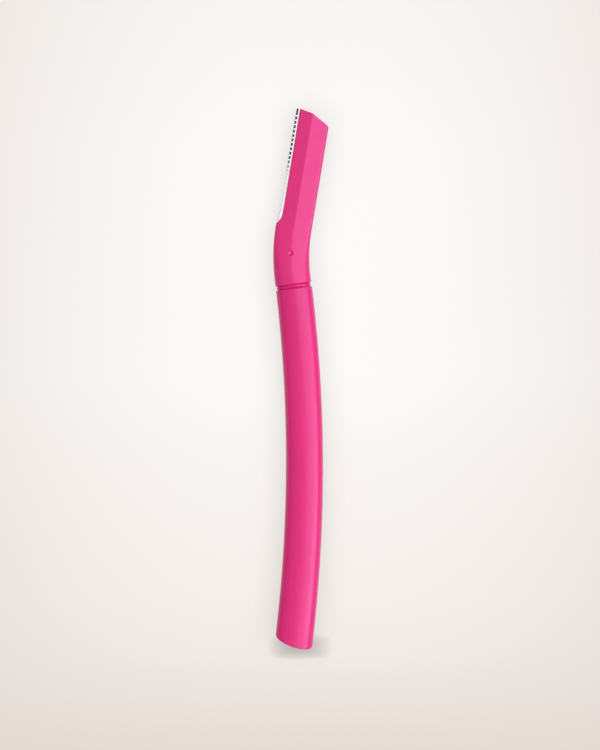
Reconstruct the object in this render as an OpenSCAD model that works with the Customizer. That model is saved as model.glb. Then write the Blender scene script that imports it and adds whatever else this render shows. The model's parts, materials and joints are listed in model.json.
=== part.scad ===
// Eyebrow razor: a bent oval grip, a ring in the joint above it, and a two-part head that
// holds a straight blade and its folded comb guard.
// The razor lies on its back. +Y runs from the foot of the grip to the tip of the blade,
// +X points to the back of the head and +Z to the front face. The origin is the middle of
// the flat that the grip rests on. Lengths are in millimetres, leans and slants in degrees.

/* [Grip] */
// Length of the grip along its bent centreline
grip_length = 98.8; // [80:0.1:120]
// Radius that the grip's centreline is bent to
grip_bend_radius = 412.4; // [250:0.1:900]
// Width of the grip at its foot
grip_foot_width = 10.6; // [9:0.05:12]
// Width of the grip at its top, beside the ring
grip_top_width = 10.18; // [9:0.02:11]
// Thickness of the grip from front to back
grip_thickness = 7.6; // [7:0.1:9]
// Fullness of the oval section, where 2 is a true ellipse
oval_power = 2.35; // [2:0.05:3]
// Share of its height that the section loses from its soft middle ridge out to its sides
ridge_fall_share = 0.09; // [0:0.01:0.2]
// Share of the half width over which that ridge is softened
ridge_soft_share = 0.08; // [0.04:0.01:0.3]
// Width of the flat that the grip rests on
rest_flat_width = 2.8; // [1.5:0.1:4]
// Rounding of the edges at the foot and at the top
grip_edge_round = 0.35; // [0.1:0.05:0.6]
// Slant of the foot across the width, longer towards the back of the head
foot_slant = 11.2; // [0:0.1:20]
// Slant of the foot through the thickness, longer at the front
foot_tilt = 28; // [0:0.1:32]
// Length of grip over which the foot's slant fades out
foot_fade = 12; // [8:0.5:20]

/* [Ring] */
// Height of the ring along the joint
ring_height = 1.1; // [0.6:0.05:2]
// Depth that the ring sits below the neck
ring_recess = 0.27; // [0.1:0.01:0.6]
// Extra depth at the ring's two edges, which makes its rim convex
ring_crown = 0.16; // [0.05:0.01:0.4]
// Lean of the joint towards the blade side
joint_lean = 7.8; // [6:0.1:9.5]

/* [Stem] */
// Length of the stem inside the grip
stem_length = 14; // [9:0.5:20]
// Width of the stem
stem_width = 6; // [5:0.1:6.6]
// Thickness of the stem, both halves together
stem_thickness = 4.4; // [3.4:0.1:4.8]
// Clearance round the stem, on each side
stem_clearance = 0.05; // [0.02:0.01:0.15]
// Gap below the end of the stem
stem_end_gap = 0.3; // [0.1:0.05:1]
// Depth of the snap ridges below the grip's top
snap_depth = 8; // [4:0.25:8.5]
// Length of each snap ridge across the stem
snap_length = 2.6; // [1.5:0.1:3.2]
// Radius of each snap ridge
snap_radius = 0.5; // [0.3:0.05:0.7]
// Height that each snap ridge stands proud of the stem
snap_height = 0.28; // [0.1:0.02:0.4]

/* [Neck] */
// Lean of the neck towards the blade side where it leaves the ring
neck_start_lean = 9; // [6:0.1:11]
// Radius that the neck's centreline is bent to
neck_bend_radius = 48.8; // [35:0.1:80]
// Width of the neck
neck_width = 10.1; // [9.2:0.02:11]
// Thickness of the neck beside the ring
neck_thickness = 7.2; // [6.4:0.1:8.4]
// Rounding of the neck's edge beside the ring
neck_edge_round = 0.25; // [0.1:0.05:0.5]
// Height of the flat land where the two halves part
parting_land = 0.5; // [0.2:0.05:1]
// Distance of the dimple from the ring, along the neck
dimple_up = 8.8; // [7:0.1:10]
// Distance of the dimple from the ridge, towards the blade side
dimple_offset = 0.2; // [0:0.1:1.5]
// Width of the dimple at the surface
dimple_width = 1.7; // [1:0.1:2.4]
// Depth of the dimple
dimple_depth = 0.42; // [0.1:0.02:0.5]

/* [Head] */
// Lean of the straight head, away from the blade side
head_lean = 9.4; // [5:0.1:16]
// Step in from the neck to the head's plastic on the blade side
shoulder_step = 1.36; // [0.8:0.02:2]
// Distance of the ridge from the back edge
ridge_from_back = 5.08; // [4.5:0.02:5.5]
// Thickness of the head at its ridge
ridge_thickness = 3.4; // [3:0.1:4.4]
// Thickness of the head at its back edge
back_edge_thickness = 2.1; // [1.8:0.1:2.8]
// Thickness of the head where the guard comes out
blade_edge_thickness = 1.4; // [1.2:0.05:2.2]
// Half of the width over which the ridge is softened
ridge_softness = 0.3; // [0.15:0.05:1.2]
// Rounding of the back edge
back_edge_round = 0.75; // [0.3:0.05:0.85]
// Rounding of the edge where the guard comes out
blade_edge_round = 0.24; // [0.05:0.01:0.4]
// Length of the head to its tip corner on the blade side
blade_side_length = 33.4; // [28:0.1:40]
// Step of the tip down from that corner to the ridge
tip_step_to_ridge = 0.7; // [0.2:0.05:1.4]
// Step of the tip down from the ridge to the back edge
tip_step_to_back = 2.8; // [1:0.05:4]
// Rounding of the tip corner at the back edge
tip_corner_round = 0.8; // [0.2:0.05:1]
// Rounding of the edge all round the tip
tip_edge_round = 0.25; // [0.1:0.05:0.4]
// Height up the head at which the shoulder's curve ends
shoulder_top = 3.7; // [3.4:0.1:5]
// Radius of the shoulder's curve
shoulder_radius = 3.8; // [3.4:0.1:6]

/* [Blade and guard] */
// Distance that the guard stands out of the plastic
guard_reach = 1.15; // [0.9:0.05:1.6]
// Thickness of the guard's sheet
guard_sheet = 0.12; // [0.08:0.01:0.16]
// Gap between the guard and each face of the blade
guard_gap = 0.03; // [0.02:0.01:0.06]
// Thickness of the blade
blade_thickness = 0.25; // [0.15:0.01:0.35]
// Distance of the cutting edge inside the guard's fold
edge_setback = 0.08; // [0.04:0.01:0.3]
// Width of the ground bevel on each face of the blade
bevel_width = 0.75; // [0.4:0.05:1]
// Width of the blade and guard that the head covers
strip_cover = 3.8; // [3.4:0.1:4.2]
// Height up the head at which the blade and guard start
strip_start = 1.3; // [1:0.1:3]
// Wall of plastic above the covered end of the blade
strip_end_wall = 0.6; // [0.4:0.05:1]
// Clearance round the blade and guard in the head
strip_clearance = 0.03; // [0.02:0.01:0.08]
// Length of the opening at the guard's tip
tip_opening = 1.9; // [0.6:0.05:3]
// Distance between neighbouring slots in the guard
slot_pitch = 1.25; // [1:0.05:2]
// Width of each slot along the edge
slot_width = 0.9; // [0.4:0.02:0.94]
// Depth of each slot from the guard's fold
slot_depth = 0.78; // [0.6:0.02:0.84]
// Rounding of the two inner corners of each slot
slot_corner_round = 0.14; // [0.06:0.01:0.28]
// Solid length of guard at its lower end
guard_solid_end = 2.6; // [1.5:0.1:4]

/* [Pegs] */
// Radius of the pegs that carry the blade and guard
strip_peg_radius = 0.7; // [0.5:0.05:0.9]
// Length of these pegs beyond the guard
strip_peg_length = 0.5; // [0.3:0.05:0.6]
// Distance of these pegs from the inner edge of the blade
strip_peg_inset = 1.3; // [1.1:0.05:1.6]
// Radius of the pegs in the neck
neck_peg_radius = 1.3; // [0.8:0.05:1.6]
// Length of the pegs in the neck
neck_peg_length = 1.2; // [0.8:0.05:1.3]
// Clearance round and past each peg
peg_clearance = 0.05; // [0.02:0.01:0.1]

/* [Hidden] */

// Steps of the lofts, as counts and angles
section_points = 50;
grip_steps = 36;
neck_steps = 16;
shoulder_steps = 7;
ring_steps = 6;
edge_angles = [0, 30, 60, 90];
face_angle_step = 9;

// Places across half of a face, from its outer edge to the ridge, as shares of that half
face_shares = [for (a = [0 : face_angle_step : 90 - face_angle_step]) 1 - cos(a)];
ridge_shares = [0.94, 1];
// Places of the pegs along the covered strip and along the neck, as shares
strip_peg_shares = [0.17, 0.5, 0.83];
neck_peg_shares = [0.27, 0.84];

// Overrun of every cut, and the depth to which joined forms are sunk together
overrun = grip_thickness / 8;
$fn = 48;

// Height of the section as a share, at a place across it from -1 to 1: an oval with a soft ridge
function ridge_share(place) =
    1 - ridge_fall_share * (sqrt(pow(place, 2) + pow(ridge_soft_share, 2)) - ridge_soft_share);
function oval_share(place) =
    ridge_share(place) * pow(max(0, 1 - pow(abs(place), oval_power)), 1 / oval_power);

// Height of the middle plane above the surface that the grip rests on
grip_mid_width = (grip_foot_width + grip_top_width) / 2;
middle_z = grip_thickness / 2 * oval_share(rest_flat_width / grip_mid_width);

// Direction along and to the right of a line that leans by an angle to the right
function along(lean) = [sin(lean), cos(lean)];
function across(lean) = [cos(lean), -sin(lean)];
function flat_point(point, z) = [point[0], point[1], z];
function smooth_step(x) = let (c = min(1, max(0, x))) c * c * (3 - 2 * c);
function degrees_of(arc, radius) = arc / radius * 180 / PI;

// Centreline of the grip, measured from its middle
function grip_lean(s) = -degrees_of(s, grip_bend_radius);
function grip_centre(s) =
    let (turn = degrees_of(s, grip_bend_radius))
    [grip_bend_radius * (cos(turn) - 1), grip_bend_radius * sin(turn)];
function grip_width(s) =
    grip_foot_width + (grip_top_width - grip_foot_width) * (s / grip_length + 1 / 2);

// The joint and the start of the neck above the ring
joint_point = grip_centre(grip_length / 2);
neck_foot = joint_point + ring_height * along(-joint_lean);
neck_turn = neck_start_lean + head_lean;
neck_length = neck_bend_radius * neck_turn * PI / 180;
neck_bend_centre = neck_foot + neck_bend_radius * across(-neck_start_lean);
neck_end = neck_bend_centre - neck_bend_radius * across(head_lean);
// Point on the back edge where the straight head starts
head_foot = neck_end + neck_width / 2 * across(head_lean);

// Centreline of the neck and head, measured from the ring
function head_path_lean(t) =
    t < neck_length ? degrees_of(t, neck_bend_radius) - neck_start_lean : head_lean;
function head_centre(t) = t < neck_length
    ? neck_bend_centre - neck_bend_radius * across(head_path_lean(t))
    : neck_end + (t - neck_length) * along(head_lean);
// Planes of the sections turn from the joint's to the neck's own over a short length
joint_fade = neck_length / 5;
function section_lean(t) =
    head_path_lean(t) + (neck_start_lean - joint_lean) * max(0, 1 - t / joint_fade);

// Width of the neck and head, with the shoulder's curve between them
head_width = neck_width - shoulder_step;
shoulder_drop = sqrt(pow(shoulder_radius, 2) - pow(shoulder_radius - shoulder_step, 2));
shoulder_corner = neck_length + shoulder_top - shoulder_drop;
shoulder_end = neck_length + shoulder_top;
function head_outline_width(t) = t >= shoulder_end ? head_width
    : t <= shoulder_corner ? neck_width
    : head_width + shoulder_radius - sqrt(pow(shoulder_radius, 2) - pow(shoulder_end - t, 2));

// Height of the faceted head above its middle plane, u being the distance from the back edge
function edge_drop(u, radius) =
    let (inside = min(max(u, 0), radius)) radius - sqrt(pow(radius, 2) - pow(radius - inside, 2));
function facet_height(u, width) =
    let (
        crown = ridge_thickness / 2,
        back_slope = (crown - back_edge_thickness / 2) / ridge_from_back,
        blade_slope = (crown - blade_edge_thickness / 2) / (width - ridge_from_back),
        away = u - ridge_from_back,
        fall = away < 0 ? -away * back_slope : away * blade_slope,
        near = max(0, ridge_softness - abs(away)),
        softening = (back_slope + blade_slope) * pow(near, 2) / (4 * ridge_softness)
    )
    crown - fall - softening - edge_drop(u, back_edge_round) - edge_drop(width - u, blade_edge_round);
function oval_height(u, width) =
    parting_land / 2 + (neck_thickness - parting_land) / 2 * oval_share(1 - 2 * u / width);
function half_height(t, u) =
    let (width = head_outline_width(t), faceted = smooth_step(t / shoulder_end))
    (1 - faceted) * oval_height(u, width) + faceted * facet_height(u, width);

// Places across a section, from the back edge over the ridge to the blade side
function section_places(width) = concat(
    [for (f = concat(face_shares, ridge_shares)) f * ridge_from_back],
    [for (f = concat([ridge_shares[0]], [for (i = [len(face_shares) - 1 : -1 : 0]) face_shares[i]]))
        width - f * (width - ridge_from_back)]
);

// Line of the tip, as a length up the head at each distance from the back edge
ridge_length = blade_side_length - tip_step_to_ridge;
back_length = ridge_length - tip_step_to_back;
tip_slant = atan(tip_step_to_back / ridge_from_back);
corner_reach = tip_corner_round * tan((90 - tip_slant) / 2);
function tip_line(u, width) =
    u > ridge_from_back
        ? ridge_length + tip_step_to_ridge * (u - ridge_from_back) / (width - ridge_from_back)
    : u > corner_reach * cos(tip_slant)
        ? back_length + tip_step_to_back * u / ridge_from_back
    : back_length - corner_reach + sqrt(pow(tip_corner_round, 2) - pow(tip_corner_round - u, 2));

// Stations along the head: its rounded foot, the neck, the shoulder and the rounded tip
head_end = neck_length + blade_side_length;
head_stations = concat(
    [for (a = edge_angles) [neck_edge_round * (1 - cos(a)), neck_edge_round * (1 - sin(a))]],
    [for (i = [1 : neck_steps])
        [neck_edge_round + (shoulder_corner - neck_edge_round) * i / neck_steps, 0]],
    [for (i = [1 : shoulder_steps])
        [shoulder_corner + (shoulder_end - shoulder_corner) * i / shoulder_steps, 0]],
    [for (a = edge_angles)
        [head_end - tip_edge_round * (1 - sin(a)), tip_edge_round * (1 - cos(a))]]
);
// One ring of the head, drawn in by its station's inset; the rings at the tip follow its line
function head_ring(station) =
    let (
        t = station[0],
        inset = station[1],
        lean = section_lean(t),
        width = head_outline_width(t),
        at_tip = t >= head_end - tip_edge_round,
        narrowing = 1 - 2 * inset / width,
        thinning = 1 - 2 * inset / (at_tip ? back_edge_thickness : neck_thickness),
        places = section_places(width),
        upper = [
            for (u = places)
                let (
                    aside = (neck_width - width) / 2 + (width / 2 - u) * narrowing,
                    short = at_tip ? blade_side_length - tip_line(u, width) : 0
                )
                flat_point(
                    head_centre(t) + aside * across(lean) - short * along(lean),
                    half_height(t, u) * thinning
                )
        ]
    )
    concat(upper, [for (i = [len(upper) - 1 : -1 : 0]) [upper[i][0], upper[i][1], -upper[i][2]]]);

// One ring of the stem below the head, with a point for each point of a head ring
function stem_ring(y) =
    let (
        radius = stem_thickness / 2,
        upper = [
            for (u = section_places(neck_width))
                let (
                    aside = stem_width * (1 / 2 - u / neck_width),
                    near = min(radius, stem_width / 2 - abs(aside)),
                    height = sqrt(pow(radius, 2) - pow(radius - near, 2))
                )
                flat_point(
                    joint_point + y * along(-joint_lean) + aside * across(-joint_lean),
                    max(height, parting_land / 2)
                )
        ]
    )
    concat(upper, [for (i = [len(upper) - 1 : -1 : 0]) [upper[i][0], upper[i][1], -upper[i][2]]]);

// Outline of an oval, as places across its width and its thickness
function oval_ring(width, thickness) = [
    for (i = [0 : section_points - 1])
        let (
            a = 360 * (i + 1 / 2) / section_points,
            bend = 2 / oval_power,
            place = sign(cos(a)) * pow(abs(cos(a)), bend)
        )
        [
            width / 2 * place,
            thickness / 2 * sign(sin(a)) * pow(abs(sin(a)), bend) * ridge_share(place)
        ]
];

// Stations along the grip, each with the inset of its rounded end
grip_body = grip_length - 2 * grip_edge_round;
grip_stations = concat(
    [for (a = edge_angles)
        [-grip_length / 2 + grip_edge_round * (1 - cos(a)), grip_edge_round * (1 - sin(a))]],
    [for (i = [1 : grip_steps - 1]) [grip_body * (i / grip_steps - 1 / 2), 0]],
    [for (i = [len(edge_angles) - 1 : -1 : 0])
        let (a = edge_angles[i])
        [grip_length / 2 - grip_edge_round * (1 - cos(a)), grip_edge_round * (1 - sin(a))]]
);
function grip_ring(station) =
    let (
        s = station[0],
        inset = station[1],
        from_foot = s + grip_length / 2,
        from_top = grip_length / 2 - s,
        slant = 1 - smooth_step(from_foot / foot_fade),
        turned = (joint_lean + grip_lean(grip_length / 2)) * (1 - smooth_step(from_top / foot_fade)),
        lean = grip_lean(s) - turned
    )
    [
        for (p = oval_ring(grip_width(s) - 2 * inset, grip_thickness - 2 * inset))
            flat_point(
                grip_centre(s) + p[0] * across(lean)
                    - slant * (p[0] * tan(foot_slant) + p[1] * tan(foot_tilt)) * along(lean),
                p[1]
            )
    ];

// Closed skin over a row of rings that all have the same number of points. The first half of
// each ring runs over the front, and the second half runs back under it point by point.
module loft(rings) {
    last = len(rings) - 1;
    count = len(rings[0]);
    skin = [
        for (i = [0 : last - 1], j = [0 : count - 1])
            let (a = i * count + j, b = i * count + (j + 1) % count)
            each [[a, b, a + count], [b, b + count, a + count]]
    ];
    foot_face = [
        for (j = [0 : count / 2 - 2])
            each [[j, count - 1 - j, j + 1], [j + 1, count - 1 - j, count - 2 - j]]
    ];
    end_face = [for (f = foot_face) [for (i = [2 : -1 : 0]) last * count + f[i]]];
    polyhedron(points = [for (ring = rings) each ring], faces = concat(skin, foot_face, end_face));
}

// All sub-parts are drawn about the middle plane, and then raised until the grip's flat is at 0
module raised() {
    translate([0, 0, middle_z]) children();
}
// Places where the sub-parts are drawn
module at_joint() {
    translate(flat_point(joint_point, 0)) rotate([0, 0, joint_lean]) children();
}
module at_head() {
    translate(flat_point(head_foot, 0)) rotate([0, 0, -head_lean]) children();
}
// Extrudes an outline of width and thickness down the joint, from a height above it
module down_joint(top, length) {
    at_joint() translate([0, top, 0]) rotate([90, 0, 0]) linear_extrude(length) children();
}

// Outline of the stem, grown by a clearance
module stem_outline(grow) {
    radius = stem_thickness / 2;
    square([stem_width - 2 * radius, stem_thickness + 2 * grow], center = true);
    for (side = [-1, 1]) translate([side * (stem_width / 2 - radius), 0]) circle(radius + grow);
}
// Snap ridges on both faces of the stem, or with a clearance the pockets that take them
module snap_ridges(sides, grow) {
    at_joint() for (side = sides)
        translate([0, -snap_depth, side * (stem_thickness / 2 + snap_height - snap_radius)])
            rotate([0, 90, 0]) cylinder(r = snap_radius + grow, h = snap_length + 2 * grow, center = true);
}

// Outline of the blade and guard in the head, to a reach past the plastic
strip_inner = head_width - strip_cover;
strip_outer = head_width + guard_reach;
strip_covered_end = blade_side_length - tip_step_to_ridge - strip_end_wall
    - tip_step_to_back * max(0, 1 - strip_inner / ridge_from_back);
module strip_outline(reach, grow) {
    polygon([
        [-strip_inner + grow, strip_start - grow],
        [-strip_inner + grow, strip_covered_end + grow],
        [-head_width - strip_clearance + grow, strip_covered_end + grow],
        [-head_width - strip_clearance + grow, blade_side_length],
        [-reach, blade_side_length],
        [-reach, strip_start - grow]
    ]);
}
// Extrudes a section of places across the head and heights all along the head
module along_head() {
    translate([0, blade_side_length + overrun, 0]) rotate([90, 0, 0])
        linear_extrude(blade_side_length + 2 * overrun) children();
}
// Pegs for the blade and guard, drawn up from below the pocket
stack_half = blade_thickness / 2 + guard_gap + guard_sheet;
pocket_half = stack_half + strip_clearance;
strip_peg_x = -strip_inner - strip_peg_inset;
module strip_pegs(radius, bottom, top) {
    for (share = strip_peg_shares)
        translate([strip_peg_x, strip_start + share * (strip_covered_end - strip_start), bottom])
            cylinder(r = radius, h = top - bottom);
}
module neck_pegs(radius, bottom, top) {
    for (share = neck_peg_shares)
        translate(flat_point(head_centre(share * neck_length), bottom))
            cylinder(r = radius, h = top - bottom);
}

// The head and its stem in one piece, with the pocket for the blade and guard
module head_form() {
    difference() {
        loft(concat(
            [for (y = [-stem_length, ring_height]) stem_ring(y)],
            [for (station = head_stations) head_ring(station)]
        ));
        at_head() linear_extrude(2 * pocket_half, center = true)
            strip_outline(strip_outer + overrun, strip_clearance);
    }
}
// The half of the head on one side of its middle plane
module head_half(side) {
    reach = grip_length + neck_length + blade_side_length;
    intersection() {
        head_form();
        translate([-reach / 2, 0, side > 0 ? 0 : -neck_thickness])
            cube([reach, 2 * reach, neck_thickness]);
    }
}

module handle() {
    raised() color([0.91, 0.2, 0.5]) difference() {
        loft([for (station = grip_stations) grip_ring(station)]);
        translate([-grip_length / 2, -grip_length, -grip_thickness - middle_z])
            cube([grip_length, 2 * grip_length, grip_thickness]);
        down_joint(overrun, overrun + stem_length + stem_end_gap) stem_outline(stem_clearance);
        snap_ridges([-1, 1], stem_clearance);
    }
}

module neck_ring() {
    width = neck_width - 2 * ring_recess;
    thickness = neck_thickness - 2 * ring_recess;
    raised() color([0.86, 0.14, 0.45]) difference() {
        loft([
            for (i = [0 : ring_steps])
                let (y = ring_height * i / ring_steps, inset = ring_crown * pow(2 * i / ring_steps - 1, 2))
                [
                    for (p = oval_ring(width - 2 * inset, thickness - 2 * inset))
                        flat_point(
                            joint_point + y * along(-joint_lean) + p[0] * across(-joint_lean),
                            p[1]
                        )
                ]
        ]);
        down_joint(ring_height + overrun, ring_height + 2 * overrun) stem_outline(stem_clearance);
    }
}

module head_back() {
    peg_end = pocket_half + strip_peg_length;
    raised() color([0.9, 0.21, 0.51]) {
        head_half(-1);
        snap_ridges([-1], 0);
        neck_pegs(neck_peg_radius, -overrun, neck_peg_length);
        at_head() strip_pegs(strip_peg_radius, -peg_end, peg_end);
    }
}

module head_front() {
    dimple_radius = (pow(dimple_width / 2, 2) + pow(dimple_depth, 2)) / (2 * dimple_depth);
    dimple_surface = half_height(dimple_up, neck_width / 2 + dimple_offset);
    socket_end = pocket_half + strip_peg_length + peg_clearance;
    raised() color([0.93, 0.22, 0.53]) {
        difference() {
            head_half(1);
            neck_pegs(neck_peg_radius + peg_clearance, -overrun, neck_peg_length + peg_clearance);
            at_head() strip_pegs(strip_peg_radius + peg_clearance, -overrun, socket_end);
            translate(flat_point(
                head_centre(dimple_up) - dimple_offset * across(head_path_lean(dimple_up)),
                dimple_surface + dimple_radius - dimple_depth
            )) sphere(dimple_radius);
        }
        snap_ridges([1], 0);
    }
}

module blade() {
    edge = strip_outer - guard_sheet - edge_setback;
    half = blade_thickness / 2;
    raised() color([0.78, 0.79, 0.81]) at_head() difference() {
        intersection() {
            translate([0, 0, -blade_thickness]) linear_extrude(2 * blade_thickness) strip_outline(edge, 0);
            along_head() polygon([
                [-strip_inner, -half],
                [-strip_inner, half],
                [-edge + bevel_width, half],
                [-edge, 0],
                [-edge + bevel_width, -half]
            ]);
        }
        strip_pegs(strip_peg_radius + peg_clearance, -overrun, overrun);
    }
}

// Outline of one slot, from outside the guard's fold to its two rounded inner corners
module slot_outline() {
    corner = slot_width / 2 - slot_corner_round;
    translate([-overrun, -slot_width / 2])
        square([slot_depth - slot_corner_round + overrun, slot_width]);
    translate([0, -corner]) square([slot_depth, 2 * corner]);
    for (side = [-1, 1])
        translate([slot_depth - slot_corner_round, side * corner]) circle(slot_corner_round);
}
module guard() {
    fold_x = -strip_outer + stack_half;
    hollow = stack_half - guard_sheet;
    first_slot = tip_opening + slot_pitch - slot_width / 2;
    slots = floor((blade_side_length - strip_start - guard_solid_end - first_slot) / slot_pitch);
    raised() color([0.88, 0.89, 0.9]) at_head() difference() {
        intersection() {
            translate([0, 0, -overrun]) linear_extrude(2 * overrun) strip_outline(strip_outer, 0);
            along_head() difference() {
                union() {
                    translate([fold_x, -stack_half]) square([-strip_inner - fold_x, 2 * stack_half]);
                    translate([fold_x, 0]) circle(stack_half);
                }
                translate([fold_x, -hollow]) square([-strip_inner - fold_x + overrun, 2 * hollow]);
                translate([fold_x, 0]) circle(hollow);
            }
        }
        strip_pegs(strip_peg_radius + peg_clearance, -overrun, overrun);
        translate([-strip_outer - overrun, blade_side_length - tip_opening, -overrun])
            cube([slot_depth + overrun, tip_opening + overrun, 2 * overrun]);
        for (i = [0 : slots])
            translate([-strip_outer, blade_side_length - first_slot - i * slot_pitch, -overrun])
                linear_extrude(2 * overrun) slot_outline();
    }
}

handle();
neck_ring();
head_back();
head_front();
blade();
guard();
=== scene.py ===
import json
import math

import bpy
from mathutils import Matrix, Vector

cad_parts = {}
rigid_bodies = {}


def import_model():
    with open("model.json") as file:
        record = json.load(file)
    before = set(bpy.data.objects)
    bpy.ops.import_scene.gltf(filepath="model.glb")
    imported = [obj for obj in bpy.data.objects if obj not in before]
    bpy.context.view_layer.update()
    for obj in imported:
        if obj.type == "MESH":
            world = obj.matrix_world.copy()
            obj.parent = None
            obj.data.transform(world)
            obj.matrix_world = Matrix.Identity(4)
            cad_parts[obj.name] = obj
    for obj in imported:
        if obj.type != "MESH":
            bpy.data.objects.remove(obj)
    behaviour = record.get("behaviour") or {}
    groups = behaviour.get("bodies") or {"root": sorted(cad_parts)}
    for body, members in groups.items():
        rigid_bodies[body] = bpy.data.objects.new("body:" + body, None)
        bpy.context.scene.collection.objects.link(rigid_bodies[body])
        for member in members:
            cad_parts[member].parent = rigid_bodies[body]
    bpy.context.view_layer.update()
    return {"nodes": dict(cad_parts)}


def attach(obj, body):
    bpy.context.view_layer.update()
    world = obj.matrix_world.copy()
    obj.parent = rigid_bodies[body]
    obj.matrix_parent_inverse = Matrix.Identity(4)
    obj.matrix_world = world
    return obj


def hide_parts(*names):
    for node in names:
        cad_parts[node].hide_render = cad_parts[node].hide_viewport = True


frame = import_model()

# The razor lies on its back on the floor, seen straight from above. Lengths and places are in
# millimetres, and MM turns them into metres where they meet Blender.
MM = 0.001

# The photograph's frame: its pixels, the width of one on the razor, and the place at its centre.
# The camera's distance is measured from close to the plane on which the razor's head is split.
PICTURE = (600, 750)
PIXEL = 0.28
PICTURE_CENTRE = (-1.26, 25.0)
MIDDLE_PLANE = 3.65
CAMERA_HEIGHT = 2400

# The head leans by this angle, and its steel changes to a painted reflection tone between two
# heights along the lean.
HEAD_LEAN = math.radians(9.4)
PAINTED_TIP_TONE_STARTS = 79.2
PAINTED_TIP_TONE_ENDS = 83.6


def shade(red, green, blue):
    """The linear colour of a screen colour given from 0 to 255."""
    def linear(value):
        value /= 255
        return value / 12.92 if value <= 0.04045 else ((value + 0.055) / 1.055) ** 2.4

    return (linear(red), linear(green), linear(blue), 1)


# Node trees

class Wire:
    """One output in a node tree. Arithmetic on it adds Math nodes."""

    def __init__(self, finish, socket):
        self.finish = finish
        self.socket = socket

    def math(self, operation, first, second):
        return self.finish.node("ShaderNodeMath", {0: first, 1: second}, operation=operation)

    def __add__(self, other):
        return self.math("ADD", self, other)

    def __radd__(self, other):
        return self.math("ADD", other, self)

    def __sub__(self, other):
        return self.math("SUBTRACT", self, other)

    def __rsub__(self, other):
        return self.math("SUBTRACT", other, self)

    def __mul__(self, other):
        return self.math("MULTIPLY", self, other)

    def __rmul__(self, other):
        return self.math("MULTIPLY", other, self)

    def __pow__(self, other):
        return self.math("POWER", self, other)

    def __abs__(self):
        return self.math("ABSOLUTE", self, 0)

    def larger(self, other):
        return self.math("MAXIMUM", self, other)


class Finish:
    """The node tree of a material or of the world, built up node by node."""

    def __init__(self, owner):
        owner.use_nodes = True
        self.owner = owner
        self.tree = owner.node_tree
        self.tree.nodes.clear()

    def node(self, kind, inputs=None, output=0, stops=None, **settings):
        """Adds a node and gives one of its outputs. An output node has none to give."""
        made = self.tree.nodes.new(kind)
        for name, value in settings.items():
            setattr(made, name, value)
        if stops:
            elements = made.color_ramp.elements
            while len(elements) < len(stops):
                elements.new(1)
            for element, (place, colour) in zip(elements, stops):
                element.position = place
                element.color = colour
        for name, value in (inputs or {}).items():
            if isinstance(value, Wire):
                self.tree.links.new(value.socket, made.inputs[name])
            else:
                made.inputs[name].default_value = value
        return Wire(self, made.outputs[output]) if made.outputs else None

    def place(self):
        return self.node("ShaderNodeTexCoord", output="Object")

    def turned(self, place, angle=0.0, stretch=(1, 1, 1)):
        """The place turned about Z and then scaled, for patterns that run along a piece."""
        turned = self.node(
            "ShaderNodeVectorRotate", {"Vector": place, "Angle": angle}, rotation_type="Z_AXIS")
        return self.node("ShaderNodeVectorMath", {0: turned, 1: stretch}, operation="MULTIPLY")

    def noise(self, place, size, detail=2, roughness=0.5):
        """Soft random values from 0 to 1, with features of about that size in millimetres."""
        return self.node("ShaderNodeTexNoise", {
            "Vector": place, "Scale": 1 / (size * MM), "Detail": detail, "Roughness": roughness})

    def between(self, value, span, to=(0.0, 1.0)):
        """Takes one span of a value to another, and clamps it there."""
        return self.node("ShaderNodeMapRange", {
            "Value": value, "From Min": span[0], "From Max": span[1],
            "To Min": to[0], "To Max": to[1]}, clamp=True)

    def mixed(self, share, first, second):
        """The first colour with a share of the second."""
        return self.node(
            "ShaderNodeMix", {0: share, 6: first, 7: second}, output=2, data_type="RGBA")

    def bump(self, height, depth, under=None):
        """A bump of that depth in millimetres, over another one."""
        inputs = {"Height": height, "Distance": depth * MM, "Strength": 1.0}
        if under:
            inputs["Normal"] = under
        return self.node("ShaderNodeBump", inputs)

    def surface(self, shader, kind="ShaderNodeOutputMaterial"):
        """Ends the tree with that shader, and gives the finished material or world."""
        self.node(kind, {"Surface": shader})
        return self.owner


def new_material(name):
    return Finish(bpy.data.materials.new(name))


# Two spans of a noise's values that are stretched to a full change: the wide one gives a soft
# change and the narrow one a firmer one.
WIDE = (0.3, 0.7)
NARROW = (0.35, 0.65)

# The plastic's darker pink on its edges, painted shade where the surface turns away, and how much of
# it comes in, how much rougher the rubbed edges and the hairlines are, and how deep its marks are
EDGE_SHADE_PINK = shade(186, 40, 98)
EDGE_SHADE_SHARE = 0.8
ROUGHER_MARKS = 0.05
SINK_DEPTH = 0.02
HAIRLINE_DEPTH = 0.002
HAIRLINE_STRETCH = (1, 0.06, 1)

# The steel's rolling grain, and how much of the tip's tone shows in it
ROLLING_DEPTH = 0.0012
ROLLING_STRETCH = (1, 0.03, 1)
ROLLING_SHARE = 0.12


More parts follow.
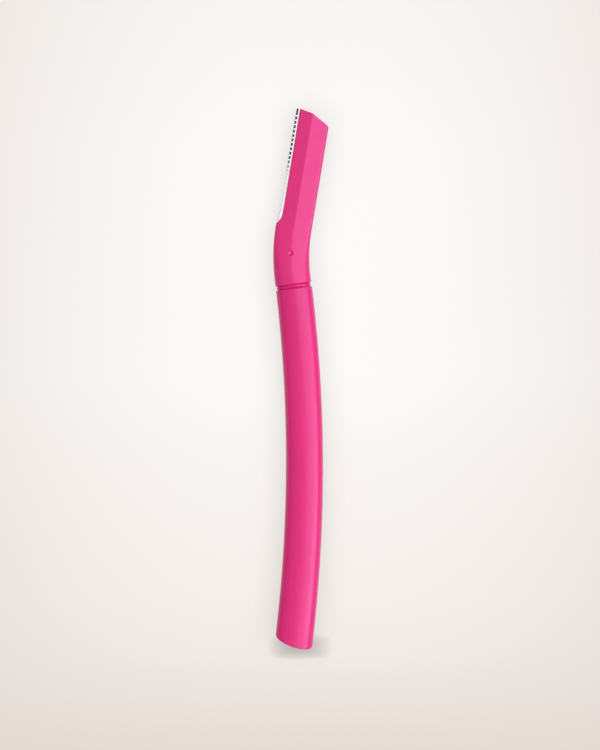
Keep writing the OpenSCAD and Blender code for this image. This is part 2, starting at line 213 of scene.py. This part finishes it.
def satin_plastic(name, colour, pale, roughness, grain, specular, light_depth=0.0):
    """Moulded pink plastic with a fine satin grain, faint sink marks, rubbed patches, hairlines, and
    edges that are rougher where rubbed and painted darker as shade. A little light goes into it, to
    the depth given in millimetres."""
    finish = new_material(name)
    place = finish.place()
    drift = finish.noise(place, size=16)
    sink = finish.noise(place, size=7, detail=1)
    rubbed = finish.noise(place, size=5, detail=5, roughness=0.6)
    fine_grain = finish.noise(place, size=0.16, roughness=0.6)
    scratches = finish.noise(
        finish.turned(place, stretch=HAIRLINE_STRETCH), size=0.5, detail=3, roughness=0.7)
    hairlines = finish.between(scratches, (0.66, 0.72))
    sharp_edge = finish.node("ShaderNodeAttribute", output="Fac", attribute_name="edge")
    patchy = finish.between(rubbed, NARROW, to=(0.4, 1.0))
    wear_and_edge_shade = finish.between(sharp_edge * patchy, (0.1, 0.9))
    body = finish.mixed(finish.between(drift, WIDE, to=(0.0, 0.5)), colour, pale)
    # Painted shade: the edges are mixed toward a darker pink where the surface turns away.
    body = finish.mixed(wear_and_edge_shade * EDGE_SHADE_SHARE, body, EDGE_SHADE_PINK)
    rough = finish.between(rubbed, WIDE, to=(roughness - 0.03, roughness + 0.04))
    rough = rough + hairlines * ROUGHER_MARKS + wear_and_edge_shade * ROUGHER_MARKS
    relief = finish.bump(sink, SINK_DEPTH)
    relief = finish.bump(fine_grain, grain, relief)
    relief = finish.bump(1 - hairlines, HAIRLINE_DEPTH, relief)
    return finish.surface(finish.node("ShaderNodeBsdfPrincipled", {
        "Base Color": body, "Roughness": rough, "Normal": relief,
        "IOR": 1.47, "Specular IOR Level": specular, "Specular Tint": (1.0, 0.7, 1.0, 1.0),
        "Subsurface Weight": 0.7 if light_depth else 0.0,
        "Subsurface Radius": (1.0, 0.05, 0.1), "Subsurface Scale": light_depth * MM}))


def rolled_steel(name, low_tone, painted_tip_tone, roughness):
    """Thin stainless sheet with its rolling grain along the head. Toward the tip it goes from one
    tone to another, a painted reflection: the blade's edge painted darker, the comb painted lighter.
    The grain shows a little of the tip's tone all along."""
    finish = new_material(name)
    place = finish.place()
    grain = finish.noise(
        finish.turned(place, HEAD_LEAN, ROLLING_STRETCH), size=0.06, detail=4, roughness=0.6)
    cloud = finish.noise(place, size=1.6, detail=3)
    up_the_head = finish.node(
        "ShaderNodeSeparateXYZ", {"Vector": finish.turned(place, HEAD_LEAN)}, output="Y")
    painted_tip_share = finish.between(up_the_head, (PAINTED_TIP_TONE_STARTS * MM, PAINTED_TIP_TONE_ENDS * MM))
    tint = finish.mixed(finish.between(grain, NARROW, to=(0.0, ROLLING_SHARE)), low_tone, painted_tip_tone)
    # Painted reflection: the tone changes toward the tip.
    tint = finish.mixed(painted_tip_share, tint, painted_tip_tone)
    rough = finish.between(grain, WIDE, to=(roughness - 0.05, roughness + 0.06))
    rough = rough + finish.between(cloud, (0.4, 0.7), to=(0.0, 0.05))
    return finish.surface(finish.node("ShaderNodeBsdfPrincipled", {
        "Base Color": tint, "Roughness": rough, "Normal": finish.bump(grain, ROLLING_DEPTH),
        "Metallic": 1.0}))


grip_pink = satin_plastic(
    "grip_pink", shade(234, 26, 128), shade(238, 35, 136), roughness=0.31, grain=0.004,
    specular=0.85, light_depth=2.6)
head_pink = satin_plastic(
    "head_pink", shade(234, 25, 122), shade(238, 34, 130), roughness=0.32, grain=0.005,
    specular=1.0)
# The ring's pink is darker than the grip's: painted shade for its place in the recess between head
# and grip.
ring_pink = satin_plastic(
    "ring_pink", shade(220, 17, 107), shade(224, 24, 114), roughness=0.12, grain=0.0005,
    specular=0.6)
# The comb is painted lighter and the blade's edge darker toward the tip, as painted reflection.
comb_steel = rolled_steel(
    "comb_steel", shade(241, 241, 242), shade(255, 255, 255), roughness=0.44)
edge_steel = rolled_steel(
    "edge_steel", shade(254, 254, 255), shade(90, 92, 98), roughness=0.42)


# Pieces

# How a copied solid is cleaned and its edges broken: points this close become one, faces that
# turn by less than the flat angle become one, edges that turn by more than the broken angle get
# a bevel, and what still turns by more than the sharp angle is shaded sharp.
SAME_POINT = 0.0001
FLAT_ANGLE = math.radians(0.2)
BROKEN_ANGLE = math.radians(32)
SHARP_ANGLE = math.radians(40)

# How far the normals at a point turn from their mean, in radians, where the rubbing and the painted
# edge shade start and are full
WEAR_AND_SHADE_STARTS = 0.15
WEAR_AND_SHADE_FULL = 0.65


def alone(piece):
    """Selects one object and nothing else."""
    bpy.ops.object.select_all(action="DESELECT")
    piece.select_set(True)
    bpy.context.view_layer.objects.active = piece


def mark_edges(piece):
    """Writes how sharply the surface turns at each point, from 0 to 1, for the rubbed roughness and
    the painted shade on its edges.
    """
    mesh = piece.data
    normals = {}
    for face in mesh.polygons:
        for corner in face.vertices:
            normals.setdefault(corner, []).append(face.normal.copy())
    edge = mesh.attributes.new("edge", "FLOAT", "POINT")
    for corner, around in normals.items():
        middle = sum(around, Vector()).normalized()
        turn = max(middle.angle(normal, 0) for normal in around)
        wear_and_shade_share = (turn - WEAR_AND_SHADE_STARTS) / (WEAR_AND_SHADE_FULL - WEAR_AND_SHADE_STARTS)
        edge.data[corner].value = min(1, max(0, wear_and_shade_share))


def finished_piece(node, name, material, edge_width, segments=3):
    """A smooth copy of a CAD solid with its sharp edges broken, which stands for that solid."""
    alone(frame["nodes"][node])
    bpy.ops.object.duplicate()
    piece = bpy.context.view_layer.objects.active
    bpy.ops.object.parent_clear(type="CLEAR_KEEP_TRANSFORM")
    piece.name = name
    # The copy is a new piece, so it drops the marks by which the frame knows the solid.
    for key in [key for key in piece.keys() if key.startswith("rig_")]:
        del piece[key]
    bpy.ops.object.mode_set(mode="EDIT")
    bpy.ops.mesh.select_all(action="SELECT")
    bpy.ops.mesh.customdata_custom_splitnormals_clear()
    bpy.ops.mesh.remove_doubles(threshold=SAME_POINT * MM)
    bpy.ops.mesh.dissolve_limited(angle_limit=FLAT_ANGLE)
    bpy.ops.mesh.normals_make_consistent(inside=False)
    bpy.ops.object.mode_set(mode="OBJECT")
    broken = piece.modifiers.new("broken_edges", "BEVEL")
    broken.width = edge_width * MM
    broken.segments = segments
    broken.limit_method = "ANGLE"
    broken.angle_limit = BROKEN_ANGLE
    bpy.ops.object.modifier_apply(modifier="broken_edges")
    mark_edges(piece)
    bpy.ops.object.shade_smooth_by_angle(angle=SHARP_ANGLE)
    weighted = piece.modifiers.new("flat_faces", "WEIGHTED_NORMAL")
    weighted.keep_sharp = True
    bpy.ops.object.modifier_apply(modifier="flat_faces")
    piece.data.materials.clear()
    piece.data.materials.append(material)
    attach(piece, "root")
    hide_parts(node)


finished_piece("handle", "grip", grip_pink, edge_width=0.06)
finished_piece("neck_ring", "joint_ring", ring_pink, edge_width=0.04)
finished_piece("head_back", "head_rear_half", head_pink, edge_width=0.05)
finished_piece("head_front", "head_front_half", head_pink, edge_width=0.05)
finished_piece("blade", "blade_strip", edge_steel, edge_width=0.01, segments=1)
finished_piece("guard", "comb_guard", comb_steel, edge_width=0.02, segments=2)


# Floor, light and camera

# The paper's colour down the picture, from its top at 0 to its bottom at 1, with a painted falloff
# of light: brightest a little above the middle and painted darker toward the bottom
PAINTED_FALLOFF_COLUMN = [
    (0.0, shade(247, 244, 241)),
    (0.2, shade(251, 248, 246)),
    (0.5, shade(251, 249, 247)),
    (0.62, shade(248, 244, 241)),
    (0.8, shade(243, 238, 234)),
    (0.88, shade(239, 232, 227)),
    (1.0, shade(228, 219, 211)),
]

# Painted shade toward both sides of the paper, a falloff of light: its colour, where it starts and
# ends as a share of half the picture's width, how its rise is curved, and how much of it comes in
PAINTED_RIM_SHADE = shade(222, 213, 207)
RIM_SPAN = (0.15, 1.25)
RIM_CURVE = 1.8
RIM_SHARE = 0.63

# The painted shadow on the floor at the razor's foot: its middle, its reach to each side of that,
# the power that squares its corners, how it fades, its colour, and how much of that comes in
PAINTED_FOOT_SHADOW_MIDDLE = (-1.3, -51.2)
PAINTED_FOOT_SHADOW_REACH = (9.0, 3.7)
PAINTED_FOOT_SHADOW_CORNERS = 4
PAINTED_FOOT_SHADOW_FADE = 0.5
PAINTED_FOOT_SHADOW_COLOUR = shade(120, 112, 106)
PAINTED_FOOT_SHADOW_SHARE = 0.43

# What is seen of the floor is mostly its plain colour, at a level, and the rest is the lamps' light
# on it. Near the razor the plain colour is darkened with painted shade, down to a level over a reach
# in millimetres. Light that it throws back is darker too.
PLAIN_SHARE = 0.9
PLAIN_LEVEL = 1.02
PAINTED_CONTACT_SHADE_LEVEL = 0.72
PAINTED_CONTACT_SHADE_REACH = 8
THROWN_BACK = shade(194, 191, 188)
BLACK = shade(0, 0, 0)

# The floor is this wide, and this far under the razor, so that their faces don't coincide.
FLOOR_WIDTH = 8000
FLOOR_GAP = 0.02

# The room is a little warm, with one level at the horizon and one overhead. The lamps are a
# little cool, and aimed at a point on the razor.
ROOM_COLOUR = shade(253, 249, 243)
ROOM_LEVELS = (0.3, 0.76)
LAMP_COLOUR = (0.98, 0.97, 1.12)
LAMP_AIM = (0, 10, 4)


def paper_and_painted_shade(finish):
    """Pale paper with painted shade: a falloff of light, darker toward its sides and its bottom, and
    a painted shadow at the razor's foot.
    """
    split = {"Vector": finish.place()}
    x = finish.node("ShaderNodeSeparateXYZ", split, output="X")
    y = finish.node("ShaderNodeSeparateXYZ", split, output="Y")
    half_width, half_height = (pixels * PIXEL * MM / 2 for pixels in PICTURE)
    aside = abs((x - PICTURE_CENTRE[0] * MM) * (1 / half_width))
    down = finish.between((y - PICTURE_CENTRE[1] * MM) * (-1 / half_height), (-1.0, 1.0))
    # Painted falloff of light down the paper and toward its sides.
    column = finish.node("ShaderNodeValToRGB", {"Fac": down}, output="Color", stops=PAINTED_FALLOFF_COLUMN)
    rim = finish.between(aside, RIM_SPAN) ** RIM_CURVE
    paper = finish.mixed(rim * RIM_SHARE, column, PAINTED_RIM_SHADE)
    across, along = (
        abs((value - middle * MM) * (1 / (reach * MM)))
        for value, middle, reach in zip((x, y), PAINTED_FOOT_SHADOW_MIDDLE, PAINTED_FOOT_SHADOW_REACH))
    # Painted shadow: the paper is mixed toward a grey patch at the foot, squared off at its corners.
    from_foot = finish.between(
        across ** PAINTED_FOOT_SHADOW_CORNERS + along ** PAINTED_FOOT_SHADOW_CORNERS, (0.0, 1.0))
    painted_foot_shadow = 1 - from_foot ** PAINTED_FOOT_SHADOW_FADE
    return finish.mixed(painted_foot_shadow * PAINTED_FOOT_SHADOW_SHARE, paper, PAINTED_FOOT_SHADOW_COLOUR)


def floor_finish():
    """Paper that keeps its plain colour where it is seen or mirrored, with painted shade softly
    darker close to the razor, and a share of the lamps' light and of the razor's shadow."""
    finish = new_material("floor_paper")
    paper = paper_and_painted_shade(finish)
    seen = finish.node("ShaderNodeLightPath", output="Is Camera Ray")
    mirrored = finish.node("ShaderNodeLightPath", output="Is Glossy Ray")
    passed = finish.node("ShaderNodeLightPath", output="Is Transmission Ray")
    looked_at = seen.larger(mirrored).larger(passed)
    lit_colour = finish.mixed(looked_at, THROWN_BACK, paper)
    lit = finish.node("ShaderNodeBsdfDiffuse", {"Color": lit_colour})
    # Painted contact shade: the plain colour is darkened where the razor closes off the room.
    openness = finish.node(
        "ShaderNodeAmbientOcclusion", {"Distance": PAINTED_CONTACT_SHADE_REACH * MM}, output="AO", samples=16)
    level = finish.between(openness, (0.0, 1.0), to=(PAINTED_CONTACT_SHADE_LEVEL, 1.0))
    plain = finish.node("ShaderNodeEmission", {
        "Color": finish.mixed(level, BLACK, paper), "Strength": PLAIN_LEVEL})
    return finish.surface(finish.node(
        "ShaderNodeMixShader", {0: looked_at * PLAIN_SHARE, 1: lit, 2: plain}))


def lay_floor():
    bpy.ops.object.select_all(action="DESELECT")
    bpy.ops.mesh.primitive_plane_add(size=FLOOR_WIDTH * MM, location=(0, 0, -FLOOR_GAP * MM))
    floor = bpy.context.view_layer.objects.active
    floor.name = "floor"
    floor.data.materials.append(floor_finish())


def light_world():
    """A plain pale room, a little warm and brightest overhead."""
    world = bpy.data.worlds.new("studio")
    bpy.context.scene.world = world
    finish = Finish(world)
    sky = finish.node("ShaderNodeTexCoord", output="Generated")
    up = finish.node("ShaderNodeSeparateXYZ", {"Vector": sky}, output="Z")
    level = finish.between(up, (0.0, 1.0), to=ROOM_LEVELS)
    room = finish.node("ShaderNodeBackground", {"Color": ROOM_COLOUR, "Strength": level})
    finish.surface(room, "ShaderNodeOutputWorld")


def add_softbox(name, toward, distance, size, power):
    """A rectangular softbox, placed in a direction from the point that the lamps are aimed at."""
    aim = Vector(LAMP_AIM) * MM
    place = aim + Vector(toward).normalized() * distance * MM
    light = bpy.data.lights.new(name, "AREA")
    light.shape = "RECTANGLE"
    light.size = size[0] * MM
    light.size_y = size[1] * MM
    light.energy = power
    light.color = LAMP_COLOUR
    holder = bpy.data.objects.new(name, light)
    holder.location = place
    holder.rotation_mode = "QUATERNION"
    holder.rotation_quaternion = (place - aim).to_track_quat("Z", "Y")
    bpy.context.collection.objects.link(holder)


def set_camera():
    """A camera that looks straight down, with the picture's height across its sensor."""
    camera = bpy.data.cameras.new("camera")
    camera.sensor_fit = "AUTO"
    camera.sensor_width = 36
    camera.lens = camera.sensor_width * CAMERA_HEIGHT / (PICTURE[1] * PIXEL)
    camera.clip_start = 10 * MM
    camera.clip_end = 50000 * MM
    holder = bpy.data.objects.new("camera", camera)
    holder.location = Vector((*PICTURE_CENTRE, MIDDLE_PLANE + CAMERA_HEIGHT)) * MM
    holder.rotation_mode = "QUATERNION"
    holder.rotation_quaternion = (1, 0, 0, 0)
    bpy.context.collection.objects.link(holder)
    bpy.context.scene.camera = holder


lay_floor()
light_world()
add_softbox("key", toward=(0.6, 0.18, 0.79), distance=620, size=(790, 760), power=2.24)
add_softbox("kicker", toward=(0.82, -0.14, 0.57), distance=800, size=(250, 400), power=0.72)
set_camera()
bpy.context.scene.view_settings.view_transform = "Standard"
